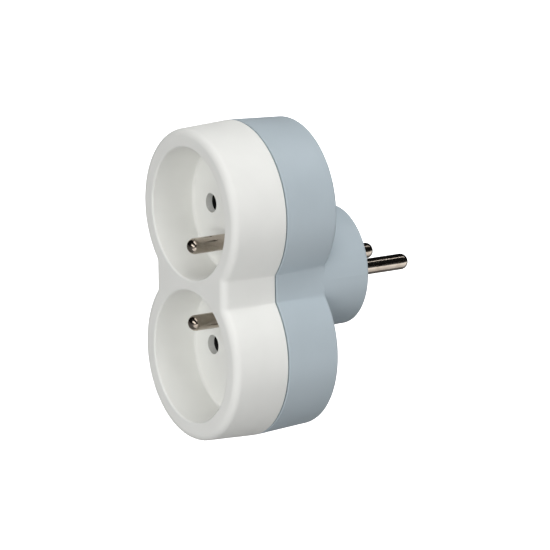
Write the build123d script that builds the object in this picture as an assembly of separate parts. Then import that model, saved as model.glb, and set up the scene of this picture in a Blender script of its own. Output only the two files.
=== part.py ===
from build123d import *
import os

# Two-way plug-in socket adapter, in millimetres.
# X points right as one faces the sockets, Y from the sockets towards the wall, Z up.
# The origin is the centre of the plug nose's end face, midway between the plug pins.

# Socket wells
well_diameter = 40.0
well_depth = 14.2
well_draft = 1.5
well_lip_radius = 0.6
well_floor_radius = 0.7
well_bridge = 3.4
well_wall = 1.8
well_floor = 2.2

# Outer form of the two mouldings
rim_width = 6.2
waist_inset = 6.8
waist_corner_radius = 0.8
front_depth = 18.2
front_draft = 2.2
front_edge_radius = 2.3
rear_depth = 18.5
rear_draft = 3.7
rear_edge_radius = 1.0
shell_wall = 2.0
front_wall = 2.2
rear_wall = 2.0
waist_web = 2.4

# Seam between the mouldings
seam_gap = 0.45
seam_edge_radius = 0.25
tongue_thickness = 0.9
tongue_height = 1.2
tongue_clearance = 0.1

# Plug nose
nose_diameter = 36.2
nose_length = 15.6
nose_draft = 0.8
nose_edge_radius = 0.8
nose_wall = 2.2
nose_end_wall = 2.6
earth_mouth_diameter = 5.6
earth_mouth_chamfer = 0.8

# Plug pins and the pins of the plugs that go in
pin_diameter = 4.8
pin_pitch = 19.0
pin_length = 19.0
pin_tip_radius = 2.2
pin_seat_diameter = 5.4
pin_collar_diameter = 8.0
pin_collar_thickness = 1.5
pin_shank_diameter = 4.0
earth_offset = 10.0
contact_hole_diameter = 5.9
pin_seat_clearance = 0.05

# Earth pins in the wells
earth_pin_height = 14.3
earth_collar_diameter = 6.4
earth_collar_thickness = 1.0

# Riveted ends of pins, and loose rivets
spigot_diameter = 2.6
spigot_head_diameter = 4.0
spigot_head_thickness = 0.5
rivet_diameter = 2.0
rivet_head_diameter = 3.8
rivet_head_thickness = 0.7
rivet_clearance = 0.05

# Brass strips
bar_width = 7.0
bar_thickness = 0.7
bar_overhang = 3.4
bar_rib_width = 1.0
bar_rib_height = 2.0
bar_rib_length = 5.0
bar_rib_clearance = 0.15
earth_bar_width = 6.4
earth_bar_thickness = 0.8
earth_bar_overhang = 3.0
link_width = 6.0
link_foot = 3.6
link_riser = 4.6
link_bend_radius = 1.0

# Spring contacts
clip_thickness = 0.6
clip_width = 5.2
clip_root = 5.8
clip_root_length = 3.0
clip_flare_length = 3.0
clip_grip = 0.15
clip_flare = 0.3
clip_bend_radius = 0.9
clip_clearance = 0.4
clip_rivet_offset = 6.5
clip_tab_end = 2.6

# Split sleeve behind the nose's earth hole
sleeve_bore = 4.9
sleeve_wall = 1.0
sleeve_reach = 14.6
sleeve_base = 0.9
sleeve_slit = 0.8
sleeve_clearance = 0.3

# Safety shutters
shutter_thickness = 3.0
shutter_play = 0.15
shutter_lap = 0.7
shutter_end = 1.0
shutter_ramp_depth = 1.8
shutter_stop_gap = 0.1
guide_clearance = 0.2
guide_wall = 1.2
stop_wall = 1.6
spring_wall = 1.8
spring_wall_width = 8.0
retainer_thickness = 1.4
retainer_corner_radius = 1.0
stake_diameter = 1.2
stake_clearance = 0.05

# Shutter springs
spring_diameter = 2.4
spring_wire = 0.35
spring_turns = 6
spring_closed = 3.2
spring_peg_length = 1.2
spring_peg_clearance = 0.15
spring_end_clearance = 0.05

# Screws that join the mouldings
screw_diameter = 2.9
screw_clearance = 0.05
screw_head_diameter = 5.4
screw_head_thickness = 1.8
screw_head_radius = 0.6
screw_sink = 4.0
screw_sink_clearance = 0.2
screw_shank_clearance = 0.2
screw_tip_gap = 0.4
screw_recess_width = 0.7
screw_recess_length = 3.0
screw_recess_depth = 1.0
screw_floor_gap = 1.0
front_boss_diameter = 6.0
rear_boss_diameter = 8.0
boss_gap = 0.6
boss_rise = 7.0

# Levels along Y, from the wall side to the front
nose_inner_y = -nose_end_wall
rear_face_y = -nose_length
rear_inner_y = rear_face_y - rear_wall
bar_front_y = rear_inner_y - bar_thickness
parting_y = rear_face_y - rear_depth
front_face_y = parting_y - front_depth
well_floor_y = front_face_y + well_depth
floor_back_y = well_floor_y + well_floor
shutter_front_y = floor_back_y + shutter_play
shutter_back_y = shutter_front_y + shutter_thickness
shutter_middle_y = (shutter_front_y + shutter_back_y) / 2
retainer_front_y = shutter_back_y + shutter_play
retainer_back_y = retainer_front_y + retainer_thickness
earth_bar_front_y = floor_back_y + earth_collar_thickness
earth_bar_back_y = earth_bar_front_y + earth_bar_thickness
boss_joint_y = parting_y + boss_rise

# Places across the front
well_radius = well_diameter / 2
lobe_radius = well_radius + rim_width
socket_pitch = well_diameter + well_bridge
socket_z = socket_pitch / 2
waist_half = lobe_radius - waist_inset
pin_x = pin_pitch / 2
pin_radius = pin_diameter / 2
hole_radius = contact_hole_diameter / 2
nose_radius = nose_diameter / 2
earth_pin_z = socket_z - earth_offset
tongue_inset = shell_wall - tongue_thickness

# Places around a shutter, measured outwards from its socket's centre
shutter_half_width = hole_radius + shutter_lap
shutter_half_length = pin_x + hole_radius + shutter_end
shutter_travel = shutter_half_width + hole_radius
spring_rest = shutter_travel + spring_closed
spring_wall_start = shutter_half_width + spring_rest
spring_wall_end = spring_wall_start + spring_wall
stop_start = shutter_half_width + shutter_stop_gap
stop_end = stop_start + stop_wall
guide_inner_x = shutter_half_length + guide_clearance
guide_outer_x = guide_inner_x + guide_wall
guide_end = shutter_half_width + shutter_travel + guide_clearance
screw_x = guide_outer_x + boss_gap + front_boss_diameter / 2


def front_level(y):
    """Plane at y that faces the front: its own x and y are the object's X and Z."""
    return Plane(origin=(0, y, 0), x_dir=(1, 0, 0), z_dir=(0, -1, 0))


def rear_level(y):
    """Plane at y that faces the wall, for outlines that are alike above and below."""
    return Plane(origin=(0, y, 0), x_dir=(1, 0, 0), z_dir=(0, 1, 0))


def rod(x, z, y_front, y_rear, diameter):
    """Round bar along Y between two levels."""
    return extrude(front_level(y_rear) * Pos(x, z) * Circle(diameter / 2), amount=y_rear - y_front)


def block(x_range, y_range, z_range):
    """Rectangular block between pairs of limits."""
    sizes = [high - low for low, high in (x_range, y_range, z_range)]
    middle = [(high + low) / 2 for low, high in (x_range, y_range, z_range)]
    return Pos(*middle) * Box(*sizes)


def flip(solid):
    """The same piece for the lower socket, mirrored about the adapter's mid height."""
    return mirror(solid, about=Plane.XY)


def outline(inset):
    """Two round lobes joined by a flat waist, drawn the inset inside the parting outline."""
    radius = lobe_radius - inset
    shape = Rectangle(2 * (waist_half - inset), socket_pitch)
    shape += Pos(0, socket_z) * Circle(radius)
    shape += Pos(0, -socket_z) * Circle(radius)
    corners = shape.vertices().sort_by(lambda vertex: abs(vertex.Y))[:4]
    return fillet(corners, waist_corner_radius + inset)


def shutter_frame():
    """Walls behind the upper well floor that guide a shutter, stop it and carry its spring."""
    y_range = (floor_back_y - well_floor / 2, retainer_front_y)
    walls = block(
        (-guide_outer_x, guide_outer_x),
        y_range,
        (socket_z - stop_end, socket_z - stop_start),
    )
    for side in (-1, 1):
        edges = sorted((side * guide_inner_x, side * guide_outer_x))
        walls += block(edges, y_range, (socket_z - stop_end, socket_z + guide_end))
    half = spring_wall_width / 2
    walls += block(
        (-half, half),
        y_range,
        (socket_z + spring_wall_start, socket_z + spring_wall_end),
    )
    walls += spring_peg(socket_z + spring_wall_start, -1)
    for x, z in stake_places():
        walls += rod(x, z, retainer_front_y - stake_diameter, retainer_back_y, stake_diameter)
    return walls


def stake_places():
    """Centres of the pegs that hold a retainer: two on the stop wall, two on the spring wall."""
    stop_z = socket_z - (stop_start + stop_end) / 2
    spring_z = socket_z + (spring_wall_start + spring_wall_end) / 2
    spring_x = spring_wall_width / 2 - stake_diameter
    stop_x = pin_x
    return [(-stop_x, stop_z), (stop_x, stop_z), (-spring_x, spring_z), (spring_x, spring_z)]


def spring_peg(z, direction):
    """Peg that stands inside the spring's end, on the face at height z."""
    radius = spring_diameter / 2 - spring_wire - spring_peg_clearance
    base = Plane(origin=(0, shutter_middle_y, z), z_dir=(0, 0, direction))
    return extrude(base * Circle(radius), amount=spring_peg_length)


def front_cover():
    """White moulding: drafted shell with a rounded front edge and two socket wells."""
    rim_y = parting_y - seam_gap / 2
    cover = extrude(front_level(rim_y) * outline(0), amount=rim_y - front_face_y, taper=front_draft)
    cover = fillet(cover.faces().sort_by(Axis.Y)[0].edges(), front_edge_radius)
    cover = fillet(cover.faces().sort_by(Axis.Y)[-1].edges(), seam_edge_radius)
    pocket_depth = rim_y - front_face_y - front_wall
    cover -= extrude(front_level(rim_y) * outline(shell_wall), amount=pocket_depth, taper=front_draft)

    tongue = outline(tongue_inset + tongue_clearance) - outline(shell_wall)
    cover += extrude(front_level(parting_y + tongue_height) * tongue, amount=tongue_height + tongue_thickness)

    inner_half = waist_half - shell_wall / 2
    cover += block(
        (-inner_half, inner_half),
        (front_face_y + front_wall / 2, floor_back_y),
        (-waist_web / 2, waist_web / 2),
    )
    for z in (-socket_z, socket_z):
        cup = rear_level(front_face_y + front_wall / 2) * Pos(0, z) * Circle(well_radius + well_wall)
        cover += extrude(cup, amount=floor_back_y - front_face_y - front_wall / 2, taper=well_draft)
    cover += shutter_frame()
    cover += flip(shutter_frame())
    for x in (-screw_x, screw_x):
        for z in (-socket_z, socket_z):
            cover += rod(x, z, floor_back_y - well_floor / 2, boss_joint_y, front_boss_diameter)
            bore = screw_diameter + 2 * screw_clearance
            cover -= rod(x, z, floor_back_y + screw_floor_gap - screw_tip_gap, boss_joint_y, bore)

    for z in (-socket_z, socket_z):
        mouth = rear_level(front_face_y) * Pos(0, z) * Circle(well_radius)
        well = extrude(mouth, amount=well_depth, taper=well_draft)
        cover -= fillet(well.faces().sort_by(Axis.Y)[-1].edges(), well_floor_radius)
        for x in (-pin_x, pin_x):
            cover -= rod(x, z, well_floor_y - well_floor, floor_back_y, contact_hole_diameter)
    for z in (-earth_pin_z, earth_pin_z):
        bore = pin_seat_diameter + 2 * pin_seat_clearance
        cover -= rod(0, z, well_floor_y - well_floor, floor_back_y, bore)
    front_face = cover.faces().sort_by(Axis.Y)[0]
    lips = [edge for wire in front_face.inner_wires() for edge in wire.edges()]
    return fillet(lips, well_lip_radius)


def rear_housing():
    """Blue-grey moulding: drafted shell with the round plug nose on its rear face."""
    rim_y = parting_y + seam_gap / 2
    depth = rear_face_y - rim_y
    housing = extrude(rear_level(rim_y) * outline(0), amount=depth, taper=rear_draft)
    housing = fillet(housing.faces().sort_by(Axis.Y)[-1].edges(), rear_edge_radius)
    housing = fillet(housing.faces().sort_by(Axis.Y)[0].edges(), seam_edge_radius)

    root_y = rear_face_y - rear_edge_radius - rear_wall
    root_radius = nose_radius + nose_length * tan_of(nose_draft)
    nose = extrude(rear_level(rear_face_y) * Circle(root_radius), amount=nose_length, taper=nose_draft)
    nose = fillet(nose.faces().sort_by(Axis.Y)[-1].edges(), nose_edge_radius)
    nose += rod(0, 0, root_y, rear_face_y, 2 * root_radius)
    housing += nose

    housing -= extrude(rear_level(rim_y) * outline(shell_wall), amount=depth - rear_wall, taper=rear_draft)
    rebate = outline(tongue_inset)
    housing -= extrude(rear_level(rim_y) * rebate, amount=tongue_height + tongue_clearance - seam_gap / 2)
    housing -= rod(0, 0, rear_inner_y, nose_inner_y, nose_diameter - 2 * nose_wall)

    for x in (-screw_x, screw_x):
        for z in (-socket_z, socket_z):
            housing += rod(x, z, boss_joint_y, rear_inner_y + rear_wall / 2, rear_boss_diameter)
            bore = screw_diameter + 2 * screw_shank_clearance
            housing -= rod(x, z, boss_joint_y, rear_face_y, bore)
            sink = screw_head_diameter + 2 * screw_sink_clearance
            housing -= rod(x, z, rear_face_y - screw_sink, rear_face_y, sink)
    housing += bar_ribs()

    for x in (-pin_x, pin_x):
        bore = pin_seat_diameter + 2 * pin_seat_clearance
        housing -= rod(x, 0, nose_inner_y, 0, bore)
    housing -= rod(0, earth_offset, nose_inner_y, 0, earth_mouth_diameter)
    mouth = rear_level(-earth_mouth_chamfer) * Pos(0, -earth_offset) * Circle(earth_mouth_diameter / 2)
    housing -= extrude(mouth, amount=earth_mouth_chamfer, taper=-45)
    return housing


def tan_of(degrees):
    """Slope of an angle, from a unit step along X turned by it."""
    step = Vector(1, 0, 0).rotate(Axis.Z, degrees)
    return step.Y / step.X


def bar_ribs():
    """Low ribs on the inside of the rear wall that keep the two bus bars in place."""
    ribs = []
    inner = bar_width / 2 + bar_rib_clearance
    y_range = (rear_inner_y - bar_rib_height, rear_inner_y + rear_wall / 2)
    for x in (-pin_x, pin_x):
        for z in (-socket_z, socket_z):
            z_range = (z - bar_rib_length / 2, z + bar_rib_length / 2)
            ribs.append(block((x - inner - bar_rib_width, x - inner), y_range, z_range))
            ribs.append(block((x + inner, x + inner + bar_rib_width), y_range, z_range))
    return ribs


def plug_pin(x):
    """Turned pin: rounded tip, seat in the nose wall, collar behind it, end riveted into a bus bar."""
    pin = rod(x, 0, 0, pin_length, pin_diameter)
    pin = fillet(pin.edges().sort_by(Axis.Y)[-1], pin_tip_radius)
    collar_y = nose_inner_y - pin_collar_thickness
    pin += rod(x, 0, nose_inner_y, 0, pin_seat_diameter)
    pin += rod(x, 0, collar_y, nose_inner_y, pin_collar_diameter)
    pin += rod(x, 0, rear_inner_y, collar_y, pin_shank_diameter)
    pin += rod(x, 0, bar_front_y - spigot_head_thickness, rear_inner_y, spigot_diameter)
    pin += rod(x, 0, bar_front_y - spigot_head_thickness, bar_front_y, spigot_head_diameter)
    return pin


def earth_pin():
    """Upper well's earth pin: rounded tip, seat in the floor, collar behind it, end riveted into the bar."""
    pin = rod(0, earth_pin_z, well_floor_y - earth_pin_height, well_floor_y, pin_diameter)
    pin = fillet(pin.edges().sort_by(Axis.Y)[0], pin_tip_radius)
    pin += rod(0, earth_pin_z, well_floor_y, floor_back_y, pin_seat_diameter)
    pin += rod(0, earth_pin_z, floor_back_y, earth_bar_front_y, earth_collar_diameter)
    head_y = earth_bar_back_y + spigot_head_thickness
    pin += rod(0, earth_pin_z, earth_bar_front_y, head_y, spigot_diameter)
    pin += rod(0, earth_pin_z, earth_bar_back_y, head_y, spigot_head_diameter)
    return pin


def strip(x, half_length, width, y_front, y_rear, holes):
    """Flat strip along Z with round ends, with holes given as (z, diameter)."""
    shape = SlotOverall(2 * half_length, width, rotation=90)
    for z, diameter in holes:
        shape -= Pos(0, z) * Circle(diameter / 2)
    return extrude(front_level(y_rear) * Pos(x, 0) * shape, amount=y_rear - y_front)


def bus_bar(x):
    """Strip on the rear wall that feeds the upper and lower contacts from one plug pin."""
    rivet_z = socket_z - clip_rivet_offset
    rivet_hole = rivet_diameter + 2 * rivet_clearance
    holes = [(0, spigot_diameter + 2 * rivet_clearance), (rivet_z, rivet_hole), (-rivet_z, rivet_hole)]
    return strip(x, socket_z + bar_overhang, bar_width, bar_front_y, rear_inner_y, holes)


def earth_bar():
    """Strip behind the well floors that joins the two earth pins."""
    pin_hole = spigot_diameter + 2 * rivet_clearance
    holes = [(earth_pin_z, pin_hole), (-earth_pin_z, pin_hole), (0, rivet_diameter + 2 * rivet_clearance)]
    half_length = earth_pin_z + earth_bar_overhang
    return strip(0, half_length, earth_bar_width, earth_bar_front_y, earth_bar_back_y, holes)


def earth_link():
    """Strip folded into a Z that carries the earth bar's current back to the plug's earth sleeve."""
    middle = earth_bar_thickness / 2
    foot_y = earth_bar_back_y + middle
    head_y = -sleeve_reach - sleeve_base - middle
    head_z = earth_offset + sleeve_bore / 2 + sleeve_wall
    points = [(foot_y, -link_foot), (foot_y, link_riser), (head_y, link_riser), (head_y, head_z)]
    path = FilletPolyline(*points, radius=link_bend_radius)
    section = trace(path, earth_bar_thickness)
    link = extrude(Plane.YZ * section, amount=link_width / 2, both=True)
    rivet_hole = rivet_diameter + 2 * rivet_clearance
    link -= rod(0, 0, foot_y - middle, foot_y + middle, rivet_hole)
    sleeve_hole = spigot_diameter + 2 * rivet_clearance
    link -= rod(0, earth_offset, head_y - middle, head_y + middle, sleeve_hole)
    return link


def earth_rivet():
    """Rivet through the earth bar and the foot of the link."""
    head_y = earth_bar_back_y + earth_bar_thickness
    rivet = rod(0, 0, earth_bar_front_y, head_y, rivet_diameter)
    return rivet + rod(0, 0, head_y, head_y + rivet_head_thickness, rivet_head_diameter)


def plug_earth_contact():
    """Split sleeve that takes the wall socket's earth pin, riveted to the earth link."""
    outside = sleeve_bore + 2 * sleeve_wall
    open_y = nose_inner_y - sleeve_clearance
    base_y = -sleeve_reach - sleeve_base
    sleeve = rod(0, earth_offset, base_y, open_y, outside)
    sleeve -= rod(0, earth_offset, -sleeve_reach, open_y, sleeve_bore)
    sleeve -= block(
        (-sleeve_slit / 2, sleeve_slit / 2),
        (-sleeve_reach, open_y),
        (earth_offset - outside, earth_offset + outside),
    )
    link_front_y = base_y - earth_bar_thickness
    head_y = link_front_y - spigot_head_thickness
    sleeve += rod(0, earth_offset, head_y, base_y, spigot_diameter)
    sleeve += rod(0, earth_offset, head_y, link_front_y, spigot_head_diameter)
    return sleeve


def spring_contact(x):
    """Upper clip folded from strip: a web on the bus bar and two bowed leaves with a flared mouth."""
    middle = clip_thickness / 2
    web_y = bar_front_y - middle
    mouth_y = retainer_back_y + clip_clearance
    root_y = web_y - clip_root_length
    grip_y = mouth_y + clip_flare_length
    root_x = clip_root / 2
    grip_x = pin_radius - clip_grip + middle
    mouth_x = hole_radius + clip_flare
    right = [(root_x, web_y), (root_x, root_y), (grip_x, grip_y), (mouth_x, mouth_y)]
    left = [(-px, py) for px, py in reversed(right)]
    path = FilletPolyline(*left, *right, radius=clip_bend_radius)
    section = trace(path, clip_thickness)
    clip = extrude(Plane.XY * section, amount=clip_width / 2, both=True)
    tab = (-clip_rivet_offset - clip_tab_end, 0)
    half = root_x - clip_bend_radius
    clip += block((-half, half), (web_y - middle, web_y + middle), tab)
    rivet_hole = rivet_diameter + 2 * rivet_clearance
    clip -= rod(0, -clip_rivet_offset, web_y - middle, web_y + middle, rivet_hole)
    return Pos(x, 0, socket_z) * clip


def contact_rivet(x, z):
    """Rivet through a contact's tab and its bus bar, flush at the back."""
    head_y = bar_front_y - clip_thickness
    rivet = rod(x, z, head_y, rear_inner_y, rivet_diameter)
    return rivet + rod(x, z, head_y - rivet_head_thickness, head_y, rivet_head_diameter)


def shutter():
    """Upper shutter: bar across both contact holes, with a ramp under each and a spring peg."""
    z_range = (socket_z - shutter_half_width, socket_z + shutter_half_width)
    bar = block((-shutter_half_length, shutter_half_length), (shutter_front_y, shutter_back_y), z_range)
    low = (shutter_front_y, socket_z - shutter_half_width)
    deep = (shutter_front_y + shutter_ramp_depth, socket_z - shutter_half_width)
    high = (shutter_front_y, socket_z + shutter_half_width - shutter_lap)
    ramp = extrude(Plane.YZ * make_face(Polyline(low, deep, high, close=True)), amount=hole_radius, both=True)
    for x in (-pin_x, pin_x):
        bar -= Pos(x, 0, 0) * ramp
    return bar + spring_peg(socket_z + shutter_half_width, 1)


def shutter_retainer():
    """Upper plate staked on the shutter's walls, with holes for the plug pins to pass."""
    half = spring_wall_width / 2
    wide_middle = (guide_end - stop_end) / 2
    shape = Pos(0, wide_middle) * Rectangle(2 * guide_outer_x, guide_end + stop_end)
    shape += Pos(0, spring_wall_end / 2) * Rectangle(2 * half, spring_wall_end)
    shape = fillet(shape.vertices(), retainer_corner_radius)
    for x in (-pin_x, pin_x):
        shape -= Pos(x, 0) * Circle(hole_radius)
    for x, z in stake_places():
        shape -= Pos(x, z - socket_z) * Circle(stake_diameter / 2 + stake_clearance)
    placed = front_level(retainer_back_y) * Pos(0, socket_z) * shape
    return extrude(placed, amount=retainer_thickness)


def shutter_spring():
    """Upper shutter's coil spring, between the shutter and its spring wall."""
    radius = (spring_diameter - spring_wire) / 2
    start = socket_z + shutter_half_width + spring_end_clearance + spring_wire / 2
    height = spring_rest - 2 * spring_end_clearance - spring_wire
    coil = Helix(height / spring_turns, height, radius, center=(0, shutter_middle_y, start))
    profile = Plane(origin=coil @ 0, z_dir=coil % 0) * Circle(spring_wire / 2)
    return sweep(profile, path=coil, is_frenet=True)


def housing_screw(x, z):
    """Pan-head screw from the rear, through the housing's boss into the cover's boss."""
    seat_y = rear_face_y - screw_sink
    head = rod(x, z, seat_y, seat_y + screw_head_thickness, screw_head_diameter)
    head = fillet(head.edges().sort_by(Axis.Y)[-1], screw_head_radius)
    half = screw_recess_width / 2
    arm = screw_recess_length / 2
    y_range = (seat_y + screw_head_thickness - screw_recess_depth, seat_y + screw_head_thickness)
    head -= block((x - arm, x + arm), y_range, (z - half, z + half))
    head -= block((x - half, x + half), y_range, (z - arm, z + arm))
    return head + rod(x, z, floor_back_y + screw_floor_gap, seat_y, screw_diameter)


corners = [(x, z) for x in (-1, 1) for z in (-1, 1)]
rivet_z = socket_z - clip_rivet_offset

nodes = {
    "front_cover": front_cover(),
    "rear_housing": rear_housing(),
    "left_plug_pin": plug_pin(-pin_x),
    "right_plug_pin": plug_pin(pin_x),
    "upper_earth_pin": earth_pin(),
    "lower_earth_pin": flip(earth_pin()),
    "line_bus_bar": bus_bar(-pin_x),
    "neutral_bus_bar": bus_bar(pin_x),
    "earth_bus_bar": earth_bar(),
    "earth_link": earth_link(),
    "earth_rivet": earth_rivet(),
    "plug_earth_contact": plug_earth_contact(),
    "upper_left_contact": spring_contact(-pin_x),
    "upper_right_contact": spring_contact(pin_x),
    "lower_left_contact": flip(spring_contact(-pin_x)),
    "lower_right_contact": flip(spring_contact(pin_x)),
    "contact_rivets": Compound([contact_rivet(x * pin_x, z * rivet_z).solid() for x, z in corners]),
    "upper_shutter": shutter(),
    "lower_shutter": flip(shutter()),
    "upper_shutter_retainer": shutter_retainer(),
    "lower_shutter_retainer": flip(shutter_retainer()),
    "upper_shutter_spring": shutter_spring(),
    "lower_shutter_spring": flip(shutter_spring()),
    "housing_screws": Compound([housing_screw(x * screw_x, z * socket_z).solid() for x, z in corners]),
}

os.makedirs("parts", exist_ok=True)
for name, solid in nodes.items():
    export_step(solid, f"parts/{name}.step")
    print(name, len(solid.solids()), "solid(s)", round(solid.volume, 2), "mm3")
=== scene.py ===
# %% [markdown]
# A two-way plug-in socket adapter
#
# The object is a small figure-eight block that plugs into a wall socket and offers two sockets of its
# own. Its solid pieces come ready-made, in metres, with the wall on the +Y side and the sockets facing
# -Y. This lesson gives those solids their finishes, makes the two springs that have to shorten, aims the
# camera, and sets up a small photo studio.

import bpy
import numpy as np
from mathutils import Matrix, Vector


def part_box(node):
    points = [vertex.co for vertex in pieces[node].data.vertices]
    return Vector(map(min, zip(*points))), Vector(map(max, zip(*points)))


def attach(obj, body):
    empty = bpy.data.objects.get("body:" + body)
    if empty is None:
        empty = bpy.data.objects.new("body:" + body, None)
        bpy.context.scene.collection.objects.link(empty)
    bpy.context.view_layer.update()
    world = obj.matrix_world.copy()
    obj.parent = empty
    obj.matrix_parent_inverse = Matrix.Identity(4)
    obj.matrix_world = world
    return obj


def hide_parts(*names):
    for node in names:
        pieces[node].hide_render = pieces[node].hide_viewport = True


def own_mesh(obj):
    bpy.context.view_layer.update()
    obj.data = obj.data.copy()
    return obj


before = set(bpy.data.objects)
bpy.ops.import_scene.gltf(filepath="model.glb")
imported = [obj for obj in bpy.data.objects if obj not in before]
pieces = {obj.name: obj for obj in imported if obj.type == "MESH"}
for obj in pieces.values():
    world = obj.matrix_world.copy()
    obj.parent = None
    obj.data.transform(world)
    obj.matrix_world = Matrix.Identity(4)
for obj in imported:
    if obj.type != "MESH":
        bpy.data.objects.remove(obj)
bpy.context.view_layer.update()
mm_per_metre = 1000.0
print("solid pieces:", len(pieces))

# %% [markdown]
# The finishes
#
# Pictures of plastic and metal could be wrapped round the pieces. Noise patterns need no unwrapping,
# have no seams and stay sharp in a close-up, so every finish here is one shader with a few of them
# behind it. The patterns read Object coordinates, which are metres in the piece's own frame, so a noise
# scale of 1000 gives features about a millimetre wide. A few short helpers keep the node building
# readable.


# %% Start a finish and make patterns for it
def start_finish(name):
    """A new material, its node tree, its shader and a socket that gives Object coordinates."""
    finish = bpy.data.materials.new(name)
    finish.use_nodes = True
    tree = finish.node_tree
    shader = next(node for node in tree.nodes if node.type == "BSDF_PRINCIPLED")
    place = tree.nodes.new("ShaderNodeTexCoord").outputs["Object"]
    return finish, tree, shader, place


def noise(tree, place, size_mm, detail=2.0, stretch=(1.0, 1.0, 1.0)):
    """Noise whose features are about size_mm wide, drawn out along an axis where stretch is below one."""
    mapping = tree.nodes.new("ShaderNodeMapping")
    mapping.inputs["Scale"].default_value = stretch
    texture = tree.nodes.new("ShaderNodeTexNoise")
    texture.inputs["Scale"].default_value = mm_per_metre / size_mm
    texture.inputs["Detail"].default_value = detail
    tree.links.new(place, mapping.inputs["Vector"])
    tree.links.new(mapping.outputs["Vector"], texture.inputs["Vector"])
    return texture.outputs["Fac"]


usual_noise = (0.3, 0.7)


def spread(tree, value, low, high, span=usual_noise):
    """Carries a value within span, where most of a noise lies, over to the range from low to high."""
    ramp = tree.nodes.new("ShaderNodeMapRange")
    for socket, limit in zip(("From Min", "From Max", "To Min", "To Max"), (*span, low, high)):
        ramp.inputs[socket].default_value = limit
    tree.links.new(value, ramp.inputs["Value"])
    return ramp.outputs["Result"]


print("lowest and highest value of most noise:", *usual_noise)

# %% [markdown]
# A pattern can drive the colour, by mixing two colours, or the relief. Moving the surface itself would
# need millions of faces for a grain as fine as this one. A bump only bends the light, and no more than
# that shows.


# %% Colour and relief from patterns
def mix_colours(tree, share, first, second):
    """A colour that moves from first to second with share."""
    mix = tree.nodes.new("ShaderNodeMix")
    mix.data_type = "RGBA"
    mix.inputs["A"].default_value = (*first, 1.0)
    mix.inputs["B"].default_value = (*second, 1.0)
    tree.links.new(share, mix.inputs["Factor"])
    return mix.outputs["Result"]


def relief(tree, shader, heights):
    """Bumps from several (value, depth in mm) pairs, one laid over the other."""
    below = None
    for value, depth_mm in heights:
        bump = tree.nodes.new("ShaderNodeBump")
        bump.inputs["Strength"].default_value = 1.0
        bump.inputs["Distance"].default_value = depth_mm / mm_per_metre
        tree.links.new(value, bump.inputs["Height"])
        if below is not None:
            tree.links.new(below, bump.inputs["Normal"])
        below = bump.outputs["Normal"]
    tree.links.new(below, shader.inputs["Normal"])


print("helpers for colour and relief:", mix_colours.__name__, relief.__name__)

# %% [markdown]
# Moulded plastic
#
# The front and the back are moulded in steel tools that were spark-eroded to a fine grain, so the
# plastic shows no sharp reflections. The white front is matt: its rounded edges carry no highlight. The
# blue-grey back is smoother and has a soft sheen. The grain is far finer than a pixel. It still matters,
# because it breaks up the sheen. A slower noise makes some areas a touch glossier, as handling does.

# %% Moulded plastic
gloss_patch_mm = 9.0
patch_shade = 0.975
grain_mm = 0.35
grain_depth_mm = 0.004


def moulded_plastic(name, colour, rough, specular):
    """Grained plastic: a colour with a faint drift, a fine grain and patches of slightly different gloss."""
    finish, tree, shader, place = start_finish(name)
    shader.inputs["Specular IOR Level"].default_value = specular
    drift = noise(tree, place, gloss_patch_mm)
    grain = noise(tree, place, grain_mm, detail=4.0)
    shaded = tuple(channel * patch_shade for channel in colour)
    tint = mix_colours(tree, spread(tree, drift, 0.0, 1.0), shaded, colour)
    tree.links.new(tint, shader.inputs["Base Color"])
    tree.links.new(spread(tree, drift, *rough), shader.inputs["Roughness"])
    relief(tree, shader, [(grain, grain_depth_mm)])
    return finish


white_plastic = moulded_plastic("white_plastic", (0.918, 0.922, 0.890), (0.54, 0.66), specular=0.4)
blue_grey_plastic = moulded_plastic("blue_grey_plastic", (0.510, 0.589, 0.638), (0.40, 0.52), specular=0.5)
# The shutter's plastic is dark, and made darker still to paint the shade deep inside the contact holes.
dark_plastic = moulded_plastic("dark_plastic", (0.009, 0.010, 0.010), (0.50, 0.62), specular=0.3)
print("plastics:", white_plastic.name, blue_grey_plastic.name, dark_plastic.name)

# %% [markdown]
# Metal
#
# The pins are turned brass with a nickel plate. Turning leaves rings round the pin and use leaves fine
# scratches along it, so the noise is drawn out once across the axis and once along it. Brass strip and
# spring steel are rolled or drawn, which leaves lines along them. An anisotropic shader would blur the
# reflections across such lines too, but it shows no single scratch in a close-up. A metal has no colour
# below its reflection, so its colour here is its reflectivity.

# %% Metal
line_mm = 0.18
ring_mm = 0.12
tarnish_patch_mm = 2.6
scratch_depth_mm = 0.0006
drawn_out = 0.03


def metal(name, colour, tarnish, rough, line_stretch, ring_stretch):
    """Bare or plated metal: two directions of fine lines, with patches of tarnish."""
    finish, tree, shader, place = start_finish(name)
    lines = noise(tree, place, line_mm, detail=3.0, stretch=line_stretch)
    rings = noise(tree, place, ring_mm, detail=2.0, stretch=ring_stretch)
    patches = noise(tree, place, tarnish_patch_mm, detail=3.0)
    shader.inputs["Metallic"].default_value = 1.0
    tint = mix_colours(tree, spread(tree, patches, 0.0, 1.0), colour, tarnish)
    tree.links.new(tint, shader.inputs["Base Color"])
    tree.links.new(spread(tree, lines, *rough), shader.inputs["Roughness"])
    relief(tree, shader, [(lines, scratch_depth_mm), (rings, scratch_depth_mm)])
    return finish


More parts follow.
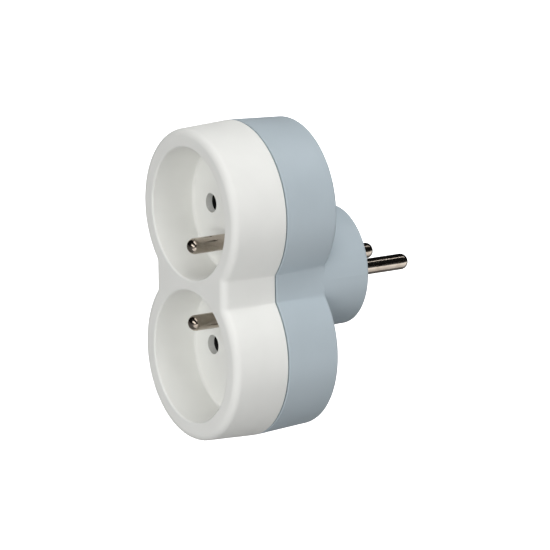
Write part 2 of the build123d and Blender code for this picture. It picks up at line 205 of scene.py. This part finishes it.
along_y = (1.0, drawn_out, 1.0)
across_y = (drawn_out, 1.0, drawn_out)
along_z = (1.0, 1.0, drawn_out)
across_z = (drawn_out, drawn_out, 1.0)
nickel = metal("nickel", (0.51, 0.45, 0.39), (0.41, 0.35, 0.29), (0.10, 0.24), along_y, across_y)
brass = metal("brass", (0.83, 0.62, 0.30), (0.62, 0.42, 0.19), (0.22, 0.38), along_z, across_z)
spring_steel = metal("spring_steel", (0.50, 0.49, 0.47), (0.38, 0.37, 0.36), (0.2, 0.34), along_z, across_z)
zinc_steel = metal("zinc_steel", (0.62, 0.63, 0.64), (0.48, 0.49, 0.50), (0.24, 0.42), across_y, along_y)
print("metals:", nickel.name, brass.name, spring_steel.name, zinc_steel.name)

# %% [markdown]
# Which piece takes which finish
#
# Each piece already has its material slots, and they only need filling. That could be done piece by
# piece. The names say what each piece is made of, so a short table of words is enough. A name that holds
# two of the words takes the later one: a shutter's spring is steel, and not the near-black plastic of the
# shutter, which is darkened to paint the shade deep inside the contact holes.

# %% Give the pieces their finishes
finish_of = {
    "front_cover": white_plastic,
    "rear_housing": blue_grey_plastic,
    # The shutter takes the near-black plastic that also paints the shade inside the contact holes.
    "shutter": dark_plastic,
    "retainer": white_plastic,
    "spring": spring_steel,
    "plug_pin": nickel,
    "earth_pin": nickel,
    "screws": zinc_steel,
    "bar": brass,
    "contact": brass,
    "rivet": brass,
    "link": brass,
}


def finish_for(name):
    """The finish of the last word in the table that the piece's name holds."""
    return [finish for word, finish in finish_of.items() if word in name][-1]


for name, piece in pieces.items():
    for holder in piece.material_slots:
        holder.material = finish_for(name)
print({name: finish_for(name).name for name in pieces})

# %% [markdown]
# The shutter springs
#
# Behind the contact holes of each socket a coil spring holds the safety shutter shut, and it shortens
# when a plug pushes the shutter aside. A solid spring can't do that. A new coil of the same size takes its
# place here, built at the solid's length. A curve with a round bevel would also give a coil. Working out
# the surface makes it easy to close the end turns up, as on a real spring, so that it stands square on
# its seats.


# %% Coil spring
def add_object(name, data):
    """A new object in the scene, for a mesh, a camera or a lamp."""
    thing = bpy.data.objects.new(name, data)
    bpy.context.scene.collection.objects.link(thing)
    return thing


def coil_spring(name, side, inner_end, outer_end, middle_y, radius, wire, turns=6, steps=40, around=12):
    """A round wire carried along a helix, as a grid over the turn t and the angle s round the wire.

    The centre line lies at cos and sin of 2 pi t times the coil's radius less half a wire. It starts half
    a wire above the seat, rises by little more than a wire in the first and the last turn, and rises evenly
    between. A point of the surface is half a wire from the centre line: cos s of that outwards, and sin s
    across the wire. Side is -1 for a coil turned upside down.
    """
    turn = np.linspace(0.0, turns, turns * steps + 1)
    seat_lift = 0.5 * wire
    closed_lift = 1.6 * wire
    lift = np.array([seat_lift, closed_lift])
    stations = np.concatenate([inner_end + lift, outer_end - lift[::-1]])
    height = side * np.interp(turn, [0.0, 1.0, turns - 1.0, turns], stations)
    outward = np.column_stack([np.cos(2 * np.pi * turn), np.sin(2 * np.pi * turn), np.zeros_like(turn)])
    axis_points = np.column_stack([np.zeros_like(turn), np.full_like(turn, middle_y), height])
    centre = axis_points + (radius - wire / 2) * outward
    across = np.cross(np.gradient(centre, axis=0), outward)
    across /= np.linalg.norm(across, axis=1, keepdims=True)
    s = np.linspace(0.0, 2 * np.pi, around, endpoint=False)[None, :, None]
    surface = centre[:, None] + wire / 2 * (np.cos(s) * outward[:, None] + np.sin(s) * across[:, None])

    ring = np.arange(turns * steps)[:, None] * around
    here = np.arange(around)
    after = (here + 1) % around
    quads = np.stack([ring + here, ring + after, ring + around + after, ring + around + here], axis=2)
    last = turns * steps * around
    cut_ends = [here[::-1].tolist(), (here + last).tolist()]
    mesh = bpy.data.meshes.new(name)
    mesh.from_pydata(surface.reshape(-1, 3).tolist(), [], quads.reshape(-1, 4).tolist() + cut_ends)
    mesh.polygons.foreach_set("use_smooth", np.ones(len(mesh.polygons), dtype=bool))
    return add_object(name, mesh)


spring_wire = 0.00035
print("wire of the springs in mm:", round(spring_wire * mm_per_metre, 2))

# %% [markdown]
# Each spring takes its size from the solid that it stands for, and rides on the housing.

# %% Set the springs in place
for level, side in (("upper", 1), ("lower", -1)):
    lowest, highest = np.array(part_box(f"{level}_shutter_spring"))
    inner_end, outer_end = np.sort(np.abs([lowest[2], highest[2]]))
    middle_y = (lowest[1] + highest[1]) / 2
    radius = (highest[0] - lowest[0]) / 2
    spring = coil_spring(f"{level}_coil_spring", side, inner_end, outer_end, middle_y, radius, spring_wire)
    spring.data.materials.append(spring_steel)
    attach(spring, "housing")
    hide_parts(f"{level}_shutter_spring")
    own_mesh(spring)

# %% [markdown]
# The camera
#
# The picture was taken from the right, a little above, with a long lens from far away, so the sides
# hardly converge. A camera could be turned by hand until the view looks right. Here its angles, distance
# and focal length were measured from the rims, wells and pins.


# %% Camera
def pose_of(x_axis, y_axis, z_axis, place):
    """The matrix of an object that has its axes along three directions and its origin at a place."""
    pose = np.eye(4)
    pose[:3, :4] = np.stack([x_axis, y_axis, z_axis, place], axis=1)
    return Matrix(pose.tolist())


azimuth, elevation, roll = np.radians([57.276, 12.478, -0.758])
distance = 2.57765
focal_pixels = 8609.07
picture_pixels = 550.0
aim = np.array([0.0, -0.02186, -0.000804])
level_share = np.cos(elevation)
back = np.array([np.sin(azimuth) * level_share, -np.cos(azimuth) * level_share, np.sin(elevation)])
sideways = np.array([np.cos(azimuth), np.sin(azimuth), 0.0])
upright = np.cross(back, sideways)
right = sideways * np.cos(roll) + upright * np.sin(roll)
up = upright * np.cos(roll) - sideways * np.sin(roll)

lens = bpy.data.cameras.new("camera")
lens.sensor_width = 36.0
lens.lens = focal_pixels / picture_pixels * lens.sensor_width
lens.clip_start = 0.1
lens.clip_end = 50.0
camera = add_object("camera", lens)
camera.matrix_world = pose_of(right, up, back, aim + distance * back)
bpy.context.scene.camera = camera
print("focal length in mm:", round(lens.lens, 1))

# %% [markdown]
# The floor and the dark room
#
# The adapter hangs in its wall socket, so the floor lies well below it. Metal mirrors its surroundings.
# The plug pin in the picture is black with one cream band low on its right side, and the tips of the
# earth pins show a cream patch there too. So the studio was dark, and the white floor was bare only
# along the adapter's right side. Here a carpet covers the rest of the floor, and a room with dark walls
# stands round it all. A darker world could take the place of the walls, but sheets that stand where real
# ones would are easier to picture. Carpet and walls are there for reflections alone: the camera looks
# through them, and they take no light away.


# %% Floor, carpet and room
def add_faces(name, corners, faces):
    """An object from its corners and, for each face, the numbers of its corners."""
    mesh = bpy.data.meshes.new(name)
    mesh.from_pydata(corners.tolist(), [], faces)
    return add_object(name, mesh)


def rectangle(height, x_range, y_range):
    """The four corners of a level rectangle between two limits in x and two in y."""
    x = np.array(x_range)[[0, 1, 1, 0]]
    y = np.array(y_range)[[0, 0, 1, 1]]
    return np.column_stack([x, y, np.full(4, height)])


floor_height = -0.170
carpet_height = -0.169
ceiling_height = 6.0
across_room = (-6.0, 6.0)
bare_x = (0.05, 1.4)
bare_y = (-0.36, 1.4)
# Four faces join two rectangles, whose corners are numbered 0 to 3 and 4 to 7.
faces_between = [(0, 1, 5, 4), (1, 2, 6, 5), (2, 3, 7, 6), (3, 0, 4, 7)]
floor_edge = rectangle(floor_height, across_room, across_room)
carpet_edge = rectangle(carpet_height, across_room, across_room)
bare_edge = rectangle(carpet_height, bare_x, bare_y)
ceiling_edge = rectangle(ceiling_height, across_room, across_room)
floor = add_faces("floor", floor_edge, [(0, 1, 2, 3)])
carpet = add_faces("carpet", np.concatenate([carpet_edge, bare_edge]), faces_between)
room = add_faces("room", np.concatenate([floor_edge, ceiling_edge]), [*faces_between, (4, 5, 6, 7)])
for mirrored_only in (carpet, room):
    mirrored_only.visible_camera = False
    mirrored_only.visible_diffuse = False
    mirrored_only.visible_transmission = False
    mirrored_only.visible_shadow = False
print("bare floor in mm:", np.round(np.ptp(bare_edge, axis=0)[:2] * mm_per_metre).tolist())

# %% [markdown]
# The carpet and the walls
#
# The carpet is as grey as the floor is to the light, and the walls are nearly black, like a studio hung
# with dark cloth. Plain matt colours are enough, because only small mirrors show them.

# %% Carpet and walls
lit_grey = (0.2, 0.2, 0.2)
wall_black = (0.035, 0.035, 0.035)
matt_patch_mm = 40.0
matt_rough = (0.75, 0.85)


def make_matt(tree, shader, place):
    """Makes a shader matt, with patches of slightly different gloss."""
    rough = spread(tree, noise(tree, place, matt_patch_mm), *matt_rough)
    tree.links.new(rough, shader.inputs["Roughness"])


def matt_paint(name, colour, specular):
    """One plain matt colour."""
    finish, tree, shader, place = start_finish(name)
    shader.inputs["Base Color"].default_value = (*colour, 1.0)
    shader.inputs["Specular IOR Level"].default_value = specular
    make_matt(tree, shader, place)
    return finish


carpet.data.materials.append(matt_paint("grey_carpet", lit_grey, specular=0.5))
room.data.materials.append(matt_paint("black_paint", wall_black, specular=0.0))
print("carpet:", carpet.data.materials[0].name, "walls:", room.data.materials[0].name)

# %% [markdown]
# A floor that some rays see as white
#
# A floor that is lit until it looks white would light the adapter from below. So to the light it is
# a darker grey, and it glows only for the rays of the camera, of mirrors and of clear things. It glows
# a little under the adapter, where the shadow has to show, and more further out.

# %% Glow for chosen rays
glow_distances = (0.20, 0.50)
glow_under_adapter = 0.25
full_glow = 1.0


def any_of(tree, values):
    """The largest of several values."""
    largest = values[0]
    for value in values[1:]:
        either = tree.nodes.new("ShaderNodeMath")
        either.operation = "MAXIMUM"
        tree.links.new(largest, either.inputs[0])
        tree.links.new(value, either.inputs[1])
        largest = either.outputs["Value"]
    return largest


def glow_outwards(tree, place, seen):
    """Seen times a glow that grows with the distance from the origin, between the two glow_distances."""
    distance = tree.nodes.new("ShaderNodeVectorMath")
    distance.operation = "LENGTH"
    tree.links.new(place, distance.inputs[0])
    ramp = spread(tree, distance.outputs["Value"], glow_under_adapter, full_glow, span=glow_distances)
    product = tree.nodes.new("ShaderNodeMath")
    product.operation = "MULTIPLY"
    tree.links.new(ramp, product.inputs[0])
    tree.links.new(seen, product.inputs[1])
    return product.outputs["Value"]


print("the glow grows from", glow_under_adapter, "to", full_glow, "between", *glow_distances, "m")

# %% [markdown]
# The floor has two shaders, a pale one for rays from above and a clear one for rays from below, so that
# it hides nothing there. The side that a ray arrives at chooses between them.

# %% Pale floor
seen_grey = (0.8, 0.8, 0.8)
plain_white = (1.0, 1.0, 1.0, 1.0)
whitened_for = ["Is Camera Ray", "Is Glossy Ray", "Is Transmission Ray"]


def pale_floor(name):
    """Matt floor: grey to the light, glowing white to the chosen kinds of ray, and clear from below."""
    finish, tree, shader, place = start_finish(name)
    make_matt(tree, shader, place)
    rays = tree.nodes.new("ShaderNodeLightPath")
    seen = any_of(tree, [rays.outputs[kind] for kind in whitened_for])
    tree.links.new(mix_colours(tree, seen, lit_grey, seen_grey), shader.inputs["Base Color"])
    shader.inputs["Emission Color"].default_value = plain_white
    tree.links.new(glow_outwards(tree, place, seen), shader.inputs["Emission Strength"])
    clear = tree.nodes.new("ShaderNodeBsdfTransparent")
    from_below = tree.nodes.new("ShaderNodeMixShader")
    facing = tree.nodes.new("ShaderNodeNewGeometry")
    output = next(node for node in tree.nodes if node.type == "OUTPUT_MATERIAL")
    tree.links.new(facing.outputs["Backfacing"], from_below.inputs["Fac"])
    tree.links.new(shader.outputs["BSDF"], from_below.inputs[1])
    tree.links.new(clear.outputs["BSDF"], from_below.inputs[2])
    tree.links.new(from_below.outputs["Shader"], output.inputs["Surface"])
    return finish


floor.data.materials.append(pale_floor("pale_floor"))
for sheet in (floor, carpet, room):
    print(sheet.name, "takes", sheet.data.materials[0].name)

# %% [markdown]
# The light
#
# The rounded tips of the earth pins are small mirrors: each shows two long white bars, one overhead and
# one in front. Those are the soft boxes that lit the object, so the lamps here stand where the bars say.
# The rear line is a dim lamp that draws the thin grey line along the plug pins, and the rear box beside
# it lights the blue housing. Two low strips and a small lamp close under the front lift the shadows
# underneath, as white cards do in a studio. A wide lamp lights the back and the left, which the picture
# doesn't show. No pin shows the rear box or these four lamps, so in the studio they were only pale things
# that threw light back, and here they stay out of the reflections.


# %% Lamps
def soft_box(name, mirrored, direction, away, long_way, length, width, watts):
    """A rectangular lamp away from the adapter's middle, facing it, with its long side along long_way."""
    lamp = bpy.data.lights.new(name, "AREA")
    lamp.shape = "RECTANGLE"
    lamp.size = length
    lamp.size_y = width
    lamp.energy = watts
    holder = add_object(name, lamp)
    holder.visible_glossy = mirrored
    out = np.array(direction, dtype=float)
    out /= np.linalg.norm(out)
    across = np.cross(out, long_way)
    across /= np.linalg.norm(across)
    holder.matrix_world = pose_of(np.cross(across, out), across, out, aim + away * out)


# Each row says whether metal mirrors the lamp, where it stands and how far away, in metres, which way its
# long side runs, its length and width in metres, and its power in watts.
lamp_table = {
    "overhead_box": (True, (0.48, -0.20, 0.86), 1.3, (0.88, 0.10, -0.50), 1.4, 0.40, 4.1),
    "front_box": (True, (0.45, -0.85, 0.25), 1.3, (0.90, 0.35, -0.45), 1.3, 0.42, 4.4),
    "rear_box": (False, (0.27, 0.53, 0.80), 1.3, (-0.17, 0.85, -0.50), 1.2, 0.10, 4.7),
    "rear_line": (True, (0.19, 0.53, 0.83), 1.3, (-0.17, 0.85, -0.50), 1.2, 0.10, 1.0),
    "right_strip": (False, (1.0, 0.0, -0.10), 0.9, (0.0, 1.0, 0.0), 0.9, 0.10, 1.3),
    "front_strip": (False, (0.40, -0.90, -0.08), 1.3, (1.0, 0.40, 0.0), 0.9, 0.08, 2.8),
    "low_front": (False, (0.30, -0.55, -0.78), 0.18, (0.85, 0.50, 0.0), 0.20, 0.08, 0.029),
    "rear_fill": (False, (-0.75, 0.62, 0.22), 1.3, (0.62, 0.75, 0.0), 1.0, 0.8, 3.7),
}
for name, setting in lamp_table.items():
    soft_box(name, *setting)
print("lamps:", list(lamp_table))

# %% [markdown]
# The surroundings
#
# The world fills the shadows evenly. To the camera, to mirrors and to clear things it is white, like the
# floor. A switch on the kind of ray does that, and no picture of a studio is needed. The dark room stands
# between this white and the pins: take it away, and the pins turn pale.

# %% World
world_level = 0.31
world = bpy.data.worlds.new("surroundings")
world.use_nodes = True
bpy.context.scene.world = world
tree = world.node_tree
glow = next(node for node in tree.nodes if node.type == "BACKGROUND")
glow.inputs["Color"].default_value = plain_white
rays = tree.nodes.new("ShaderNodeLightPath")
switch = tree.nodes.new("ShaderNodeMix")
switch.inputs["A"].default_value = world_level
switch.inputs["B"].default_value = full_glow
seen = any_of(tree, [rays.outputs[kind] for kind in whitened_for])
tree.links.new(seen, switch.inputs["Factor"])
tree.links.new(switch.outputs["Result"], glow.inputs["Strength"])
print("world level:", world_level)

# %% [markdown]
# Colours out
#
# The colours go out as they are, without a film look.

# %% Finish
bpy.context.scene.view_settings.view_transform = "Standard"
